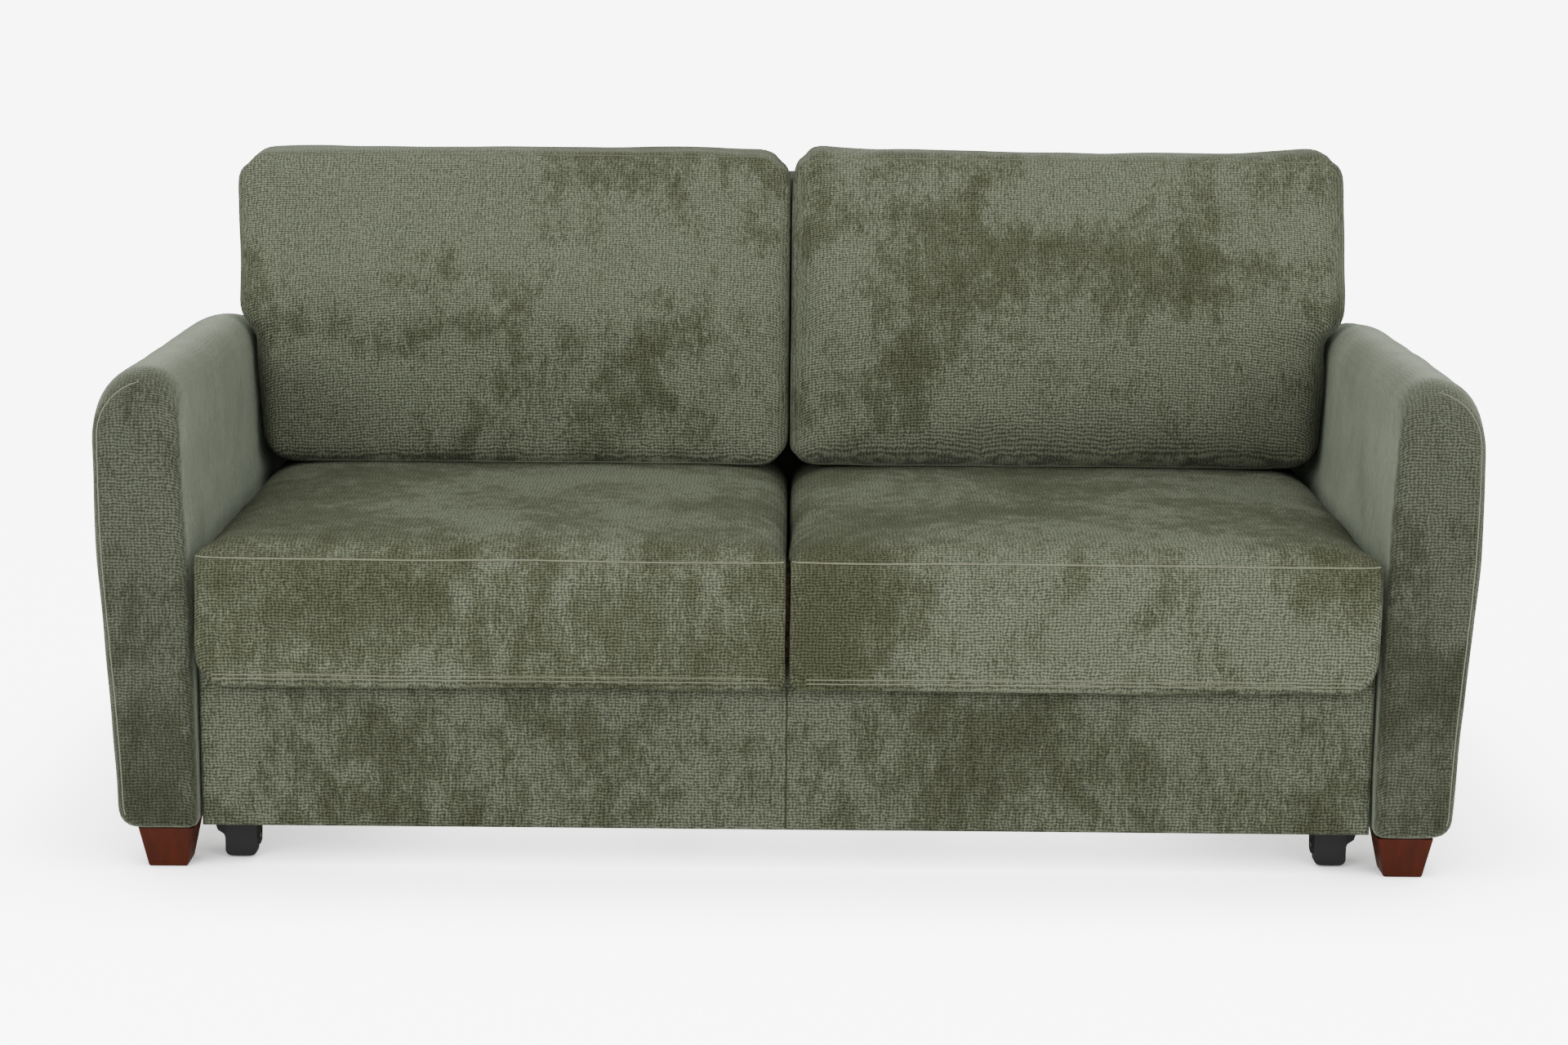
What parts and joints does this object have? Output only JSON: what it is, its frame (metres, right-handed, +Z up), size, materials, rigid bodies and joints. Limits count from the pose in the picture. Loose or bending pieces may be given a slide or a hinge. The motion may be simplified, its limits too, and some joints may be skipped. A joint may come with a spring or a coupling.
{
  "type": "futon sofa bed",
  "caption": "Upholstered sofa bed: slim padded arms, box back cushions, roll-forward seat with a front lip and folding sprung leaves behind it.",
  "frame": {"origin": "bottom centre of the bounding box, on the floor under the middle of the sofa", "axes": "+X along the sofa's width, to the right seen from the front; +Y to the back; +Z up"},
  "size_m": [1.886, 1.05, 0.9536],
  "materials": {
    "upholstery": "matte",
    "ticking": "matte",
    "foot_wood": "satin",
    "frame_timber": "matte",
    "slat_wood": "satin",
    "frame_steel": "satin",
    "bright_steel": "satin",
    "black_plastic": "matte",
    "roller_plastic": "satin",
    "glide_rubber": "matte"
  },
  "bodies": {
    "base": {"arm_bolts": "bright_steel", "arm_cover_left": "upholstery", "arm_cover_right": "upholstery", "arm_frame_left": "frame_timber", "arm_frame_right": "frame_timber", "back_cover": "upholstery", "back_frame": "frame_timber", "base_rail_left": "frame_steel", "base_rail_right": "frame_steel", "foot_front_left": "foot_wood", "foot_front_right": "foot_wood", "foot_rear_left": "foot_wood", "foot_rear_right": "foot_wood", "foot_screws": "bright_steel", "hinge_post_left": "frame_steel", "hinge_post_right": "frame_steel", "rear_crossbar": "frame_steel", "rear_hinge_pins": "bright_steel"},
    "rear_leaf": {"rear_leaf_crossbars": "frame_steel", "rear_leaf_mattress": "ticking", "rear_leaf_rail_left": "frame_steel", "rear_leaf_rail_right": "frame_steel", "rear_leaf_slat_holders": "black_plastic", "rear_leaf_slats": "slat_wood"},
    "front_leaf": {"front_leaf_crossbars": "frame_steel", "front_leaf_mattress": "ticking", "front_leaf_rail_left": "frame_steel", "front_leaf_rail_right": "frame_steel", "front_leaf_slat_holders": "black_plastic", "front_leaf_slats": "slat_wood", "leg_pivots": "bright_steel", "top_hinge_pins": "bright_steel"},
    "seat_carriage": {"carriage_middle_rail": "frame_timber", "carriage_rear_rail": "frame_timber", "carriage_side_left": "frame_timber", "carriage_side_right": "frame_timber", "fascia_board": "frame_timber", "fascia_cover": "upholstery", "front_hinge_pins": "bright_steel", "roller_axles": "bright_steel", "roller_leg_front_left": "black_plastic", "roller_leg_front_right": "black_plastic", "roller_leg_rear_left": "black_plastic", "roller_leg_rear_right": "black_plastic", "seat_cushion_left": "upholstery", "seat_cushion_right": "upholstery", "seat_hinge_bracket_left": "frame_steel", "seat_hinge_bracket_right": "frame_steel", "seat_slats": "slat_wood"},
    "support_leg": {"leg_glides": "glide_rubber", "support_leg_bar": "frame_steel", "support_leg_left": "frame_steel", "support_leg_right": "frame_steel"},
    "back_cushion_left": {"back_cushion_left": "upholstery"},
    "back_cushion_right": {"back_cushion_right": "upholstery"},
    "roller_front_left": {"roller_front_left": "roller_plastic"},
    "roller_front_right": {"roller_front_right": "roller_plastic"},
    "roller_rear_left": {"roller_rear_left": "roller_plastic"},
    "roller_rear_right": {"roller_rear_right": "roller_plastic"}
  },
  "joints": [
    {"name": "bed_fold", "type": "hinge", "parent": "base", "child": "rear_leaf", "pos_m": [0, 0.41824, 0.403], "axis": [1, 0, 0], "range_deg": [0, 87]},
    {"name": "front_leaf_fold", "type": "hinge", "parent": "rear_leaf", "child": "front_leaf", "pos_m": [0, 0.35662, 0.90046], "axis": [1, 0, 0], "range_deg": [-174, 0]},
    {"name": "seat_glide", "type": "hinge", "parent": "front_leaf", "child": "seat_carriage", "pos_m": [0, 0.295, 0.403], "axis": [1, 0, 0], "range_deg": [0, 87]},
    {"name": "support_leg_swing", "type": "hinge", "parent": "front_leaf", "child": "support_leg", "pos_m": [0, 0.35847, 0.84028], "axis": [1, 0, 0], "range_deg": [0, 87]},
    {"name": "roller_front_left_spin", "type": "hinge", "parent": "seat_carriage", "child": "roller_front_left", "pos_m": [-0.758, -0.401, 0.021], "axis": [1, 0, 0], "continuous": true},
    {"name": "roller_rear_left_spin", "type": "hinge", "parent": "seat_carriage", "child": "roller_rear_left", "pos_m": [-0.758, 0.165, 0.021], "axis": [1, 0, 0], "continuous": true},
    {"name": "back_cushion_left_lift", "type": "slide", "parent": "seat_carriage", "child": "back_cushion_left", "axis": [0, 0, 1], "range_m": [0, 0.45]},
    {"name": "roller_front_right_spin", "type": "hinge", "parent": "seat_carriage", "child": "roller_front_right", "pos_m": [0.758, -0.401, 0.021], "axis": [1, 0, 0], "continuous": true},
    {"name": "roller_rear_right_spin", "type": "hinge", "parent": "seat_carriage", "child": "roller_rear_right", "pos_m": [0.758, 0.165, 0.021], "axis": [1, 0, 0], "continuous": true},
    {"name": "back_cushion_right_lift", "type": "slide", "parent": "seat_carriage", "child": "back_cushion_right", "axis": [0, 0, 1], "range_m": [0, 0.45]}
  ],
  "couplings": [
    {"joint": "front_leaf_fold", "follows": "bed_fold", "ratio": -2},
    {"joint": "seat_glide", "follows": "bed_fold", "ratio": 1},
    {"joint": "support_leg_swing", "follows": "bed_fold", "ratio": 1}
  ]
}
